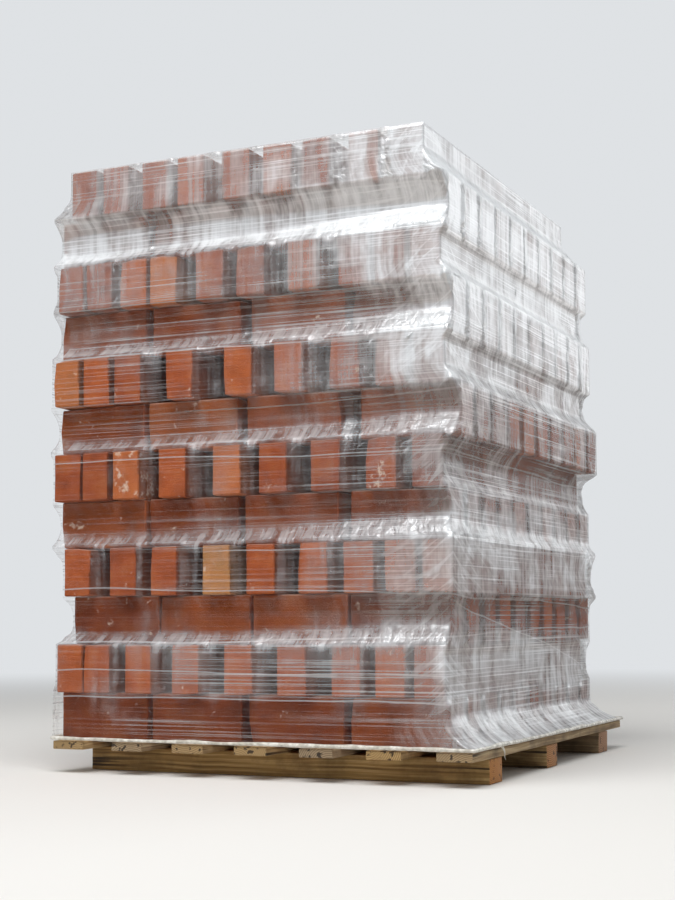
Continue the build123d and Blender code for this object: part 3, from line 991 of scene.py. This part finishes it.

    # the upright folds are hazier and clearer by turns, and white on the ledges, partly a painted highlight
    foldDepth = addNode(film, "Math", {"operation": "MULTIPLY", 0: shares["fold"], 1: shares["gathered"]})
    foldGain = addNode(film, "Math", {
        "operation": "MULTIPLY_ADD", 0: foldDepth.outputs[0], 1: 1.0, 2: 0.65})
    gatheredHaze = addNode(film, "Math", {
        "operation": "MULTIPLY", 0: haze.outputs["Result"], 1: foldGain.outputs[0]})
    drawnShare = addNode(film, "Math", {"operation": "ADD", 0: shares["line"], 1: shares["thread"]})
    ruledShare = addNode(film, "Math", {
        "operation": "MULTIPLY", 0: drawnShare.outputs[0], 1: shares["ruled"]})
    lineWeight = addNode(film, "Math", {"operation": "MULTIPLY_ADD", 0: thickness, 1: 0.85, 2: 0.3})
    lined = addNode(film, "Math", {
        "operation": "MULTIPLY_ADD",
        0: ruledShare.outputs[0], 1: lineWeight.outputs[0], 2: gatheredHaze.outputs[0]})
    foldLedgeHighlight = addNode(film, "MapRange", {
        "Value": ledge, "From Min": 0.5, "From Max": 0.85, "To Min": 0.1, "To Max": 0.55})
    foldFree = addNode(film, "Math", {"operation": "MULTIPLY", 0: free, 1: foldLedgeHighlight.outputs["Result"]})
    folded = addNode(film, "Math", {
        "operation": "MULTIPLY_ADD", 0: shares["fold"], 1: foldFree.outputs[0], 2: lined.outputs[0]})

    # it is bunched on the ledges and by the corners; the extra haze on the ledges, which face up, is partly a
    # painted highlight
    onLedge = addNode(film, "MapRange", {"Value": ledge, "From Min": 0.55, "From Max": 0.95, "To Max": 0.4})
    thickLedge = addNode(film, "Math", {"operation": "MULTIPLY_ADD", 0: thickness, 1: 1.2, 2: 0.3})
    smoothLedge = addNode(film, "Math", {
        "operation": "MULTIPLY", 0: onLedge.outputs["Result"], 1: thickLedge.outputs[0]})
    ledgeBunchAndHighlight = addNode(film, "Math", {
        "operation": "MULTIPLY", 0: smoothLedge.outputs[0], 1: shares["crumpled"]})
    byCorner = addNode(film, "Math", {"operation": "MULTIPLY", 0: cornerNear, 1: wound})
    cornerShare = addNode(film, "Math", {"operation": "MULTIPLY", 0: byCorner.outputs[0], 1: 0.3})
    # slanting creases run down and away from the corner where the winding pulled hardest
    aside = addNode(film, "Math", {"operation": "SUBTRACT", 0: place.outputs["X"], 1: nearCorner})
    fromCorner = addNode(film, "Math", {"operation": "ABSOLUTE", 0: aside.outputs[0]})
    mirrored = addNode(film, "CombineXYZ", {"X": fromCorner.outputs[0], "Y": place.outputs["Y"]})
    turned = addNode(film, "Mapping", {"Vector": mirrored.outputs["Vector"], "Rotation": (0, 0, 0.5)})
    slanted = addNode(film, "Mapping", {"Vector": turned.outputs["Vector"], "Scale": (7.0, 60.0, 1.0)})
    creases = addNode(film, "TexNoise", {
        **flatNoise, "Vector": slanted.outputs["Vector"], "Scale": 1.0, "Detail": 3.0, "Distortion": 0.8})
    creased = addNode(film, "MapRange", {
        "Value": creases.outputs["Fac"], "From Min": 0.54, "From Max": 0.7, "To Max": 1.1})
    creaseShare = addNode(film, "Math", {
        "operation": "MULTIPLY", 0: creased.outputs["Result"], 1: byCorner.outputs[0]})
    depth = folded.outputs[0]
    for share in edges + [ledgeBunchAndHighlight.outputs[0], cornerShare.outputs[0], creaseShare.outputs[0]]:
        depth = addNode(film, "Math", {"operation": "ADD", 0: depth, 1: share}).outputs[0]
    least = addNode(film, "Math", {"operation": "MAXIMUM", 0: depth, 1: 0.02})
    # each layer hides the same share of what is behind it
    negative = addNode(film, "Math", {"operation": "MULTIPLY", 0: least.outputs[0], 1: -1.0})
    passed = addNode(film, "Math", {"operation": "EXPONENT", 0: negative.outputs[0]})
    alpha = addNode(film, "Math", {"operation": "SUBTRACT", 0: 1.0, 1: passed.outputs[0]})

    # dull grey with dust where it lies flat, bright where it is bunched or many layers thick; both painted
    # darker on the slopes that face down and paler on the ledges that face up, as painted shade and light
    thinShadedBySlope = addNode(film, "ValToRGB", {"Fac": ledge}, [
        (0.25, "#B1AEAC"), (0.45, "#CAC9C9"), (0.62, "#D0D0D2"), (0.85, "#D3D4D6")])
    manyLayers = addNode(film, "MapRange", {
        "Value": thickness, "From Min": 0.65, "From Max": 1.15, "To Max": 0.85})
    thickShadedBySlope = addNode(film, "ValToRGB", {"Fac": ledge}, [
        (0.25, "#E9E6E5"), (0.48, "#F0F3F6"), (0.6, "#EEF0F3"), (0.85, "#EFF2F4")])
    colour = addNode(film, "Mix", {
        "data_type": "RGBA", "Factor": manyLayers.outputs["Result"],
        "A": thinShadedBySlope.outputs["Color"], "B": thickShadedBySlope.outputs["Color"]})
    # relief: fine lines all over, and crinkles of 20 mm, sharpest by the corner
    slackness = addNode(film, "Math", {"operation": "MULTIPLY_ADD", 0: byCorner.outputs[0], 1: 1.6, 2: 1.0})
    crinkleHeight = addNode(film, "Math", {"operation": "MULTIPLY", 0: slackness.outputs[0], 1: free})
    crinkled = addNode(film, "Math", {
        "operation": "MULTIPLY", 0: noises["crinkles"], 1: crinkleHeight.outputs[0]})
    height = addNode(film, "Math", {
        "operation": "MULTIPLY_ADD", 0: crinkled.outputs[0], 1: 6.5, 2: noises["fineLines"]})
    bump = addNode(film, "Bump", {"Strength": 0.6, "Distance": 0.0008, "Height": height.outputs[0]})
    shader = addNode(film, "BsdfPrincipled", {
        "Base Color": colour.outputs["Result"], "Metallic": 0.22, "Roughness": 0.33, "IOR": 1.5,
        "Alpha": alpha.outputs[0], "Normal": bump.outputs["Normal"]})
    addNode(film, "OutputMaterial", {"Surface": shader.outputs["BSDF"]})
    return film


def makeRopeMaterial():
    # The same film rolled into a rope: dozens of layers, creamy white and barely clear, twisted every 12 mm
    rope = newMaterial("ropedFilm")
    place = addNode(rope, "TexCoord").outputs["Object"]
    twist = addNode(rope, "TexNoise", {"Vector": place, "Scale": 85.0, "Detail": 3.0})
    colour = addNode(rope, "ValToRGB", {"Fac": twist.outputs["Fac"]}, [
        (0.35, "#C9C3B6"), (0.55, "#DEDACF"), (0.7, "#EFEDE6")])
    alpha = addNode(rope, "MapRange", {
        "Value": twist.outputs["Fac"], "From Min": 0.35, "From Max": 0.65, "To Min": 0.75, "To Max": 0.95})
    bump = addNode(rope, "Bump", {"Strength": 0.5, "Distance": 0.001, "Height": twist.outputs["Fac"]})
    shader = addNode(rope, "BsdfPrincipled", {
        "Base Color": colour.outputs["Color"], "Roughness": 0.32, "Alpha": alpha.outputs["Result"],
        "Normal": bump.outputs["Normal"]})
    addNode(rope, "OutputMaterial", {"Surface": shader.outputs["BSDF"]})
    return rope


def wrapLoad():
    film, foot, nearCorner = makeFilm()
    rope = makeRope(foot)
    dress(film, makeFilmMaterial(nearCorner), "film", "stretch_film")
    dress(rope, makeRopeMaterial(), "film")


wrapLoad()
print("film wrapped")


# Stage

stageLook = {
    "floor": "#E6E4E0",
    "world": "#E4E7EA",
    "light": 0.30,        # strength of the world as a light
    "seen": 0.95,         # and as the background
    "fade": (2.0, 7.0),   # where the floor starts to turn into the background, and where it has
}


def seenRay(material):
    # one for a ray that shows the background: straight from the camera, mirrored, or through something clear
    ray = addNode(material, "LightPath")
    direct = addNode(material, "Math", {
        "operation": "MAXIMUM", 0: ray.outputs["Is Camera Ray"], 1: ray.outputs["Is Glossy Ray"]})
    seen = addNode(material, "Math", {
        "operation": "MAXIMUM", 0: direct.outputs[0], 1: ray.outputs["Is Transmission Ray"]})
    return seen.outputs[0]


def makeStage():
    deselect()
    bpy.ops.mesh.primitive_plane_add(size=60, location=(0, 0, -0.0005))
    floor = bpy.context.object
    floor.name = "floor"
    pale = newMaterial("paleFloor")
    shader = addNode(pale, "BsdfPrincipled", {"Base Color": linear(stageLook["floor"]), "Roughness": 0.9})
    # far out it fades into the background
    place = addNode(pale, "TexCoord").outputs["Object"]
    distance = addNode(pale, "VectorMath", {"operation": "LENGTH", 0: place})
    far = addNode(pale, "MapRange", {
        "interpolation_type": "SMOOTHSTEP", "Value": distance.outputs["Value"],
        "From Min": stageLook["fade"][0], "From Max": stageLook["fade"][1]})
    fade = addNode(pale, "Math", {"operation": "MULTIPLY", 0: far.outputs["Result"], 1: seenRay(pale)})
    glow = addNode(pale, "Emission", {"Color": linear(stageLook["world"]), "Strength": stageLook["seen"]})
    mixed = addNode(pale, "MixShader", {
        0: fade.outputs[0], 1: shader.outputs["BSDF"], 2: glow.outputs["Emission"]})
    addNode(pale, "OutputMaterial", {"Surface": mixed.outputs["Shader"]})
    floor.data.materials.append(pale)
    world = bpy.data.worlds.new("studio")
    bpy.context.scene.world = world
    world.use_nodes = True
    world.node_tree.nodes.clear()
    strength = addNode(world, "MapRange", {
        "Value": seenRay(world), "To Min": stageLook["light"], "To Max": stageLook["seen"]})
    sky = addNode(world, "Background", {
        "Color": linear(stageLook["world"]), "Strength": strength.outputs["Result"]})
    addNode(world, "OutputWorld", {"Surface": sky.outputs["Background"]})


def makeLamp(name, place, aim, size, power):
    data = bpy.data.lights.new(name, "AREA")
    data.shape = "RECTANGLE"
    data.size = size[0]
    data.size_y = size[1]
    data.energy = power
    lamp = addObject(name, data)
    lamp.location = place
    lamp.rotation_euler = (Vector(aim) - Vector(place)).to_track_quat("-Z", "Y").to_euler()


makeStage()
makeLamp("skyLamp", (0.3, -2.4, 4.8), (0, 0, 0.7), (4.0, 3.0), 265)
makeLamp("glareLamp", (2.6, 5.2, 2.6), (0.2, 0.2, 0.7), (3.0, 3.0), 50)
makeLamp("frontLamp", (-3.5, -4.0, 1.8), (0, 0, 0.6), (4.0, 3.0), 20)
bpy.context.scene.view_settings.view_transform = "Standard"
print("stage and lamps placed")
